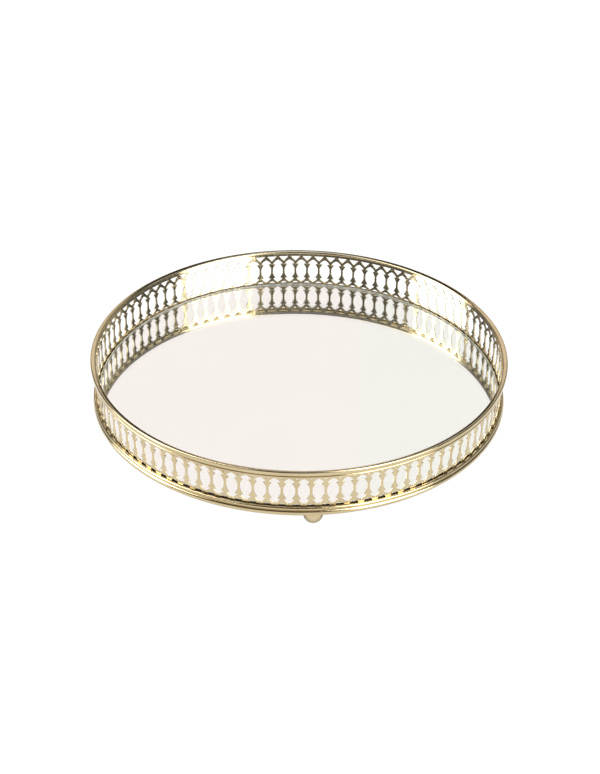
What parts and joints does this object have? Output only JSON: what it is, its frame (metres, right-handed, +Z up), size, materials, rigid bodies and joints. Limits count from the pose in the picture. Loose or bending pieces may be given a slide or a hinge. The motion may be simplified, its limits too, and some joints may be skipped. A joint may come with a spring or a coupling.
{
  "type": "vanity tray",
  "caption": "Round mirrored vanity tray with a pierced baluster gallery, a rolled rim and ball feet, for perfume bottles and jewellery.",
  "frame": {"origin": "centre of the tray on the plane that its feet stand on", "axes": "+Z up through the mirror, -Y towards the front foot (5 degrees off it), +X to the right"},
  "size_m": [0.3, 0.3, 0.0474],
  "materials": {
    "gold_plating": "polished light gold plating",
    "underside_lacquer": "satin gold lacquer on sheet steel",
    "backing_card": "raw grey board",
    "silvering": "silvered, painted behind",
    "glass": "clear float glass with a ground arris",
    "screw_steel": "zinc plated",
    "foam_tape": "white foam tape"
  },
  "bodies": {
    "root": {"top_rim": "gold_plating", "gallery_strip": "gold_plating", "base_ring": "gold_plating", "base_plate": "underside_lacquer", "backing_board": "backing_card", "mirror_silvering": "silvering", "mirror_glass": "glass", "ball_foot_front": "gold_plating", "ball_foot_right": "gold_plating", "ball_foot_back": "gold_plating", "ball_foot_left": "gold_plating", "foot_screw_front": "screw_steel", "foot_screw_right": "screw_steel", "foot_screw_back": "screw_steel", "foot_screw_left": "screw_steel", "tape_pad_front": "foam_tape", "tape_pad_right": "foam_tape", "tape_pad_back": "foam_tape", "tape_pad_left": "foam_tape"}
  },
  "joints": []
}
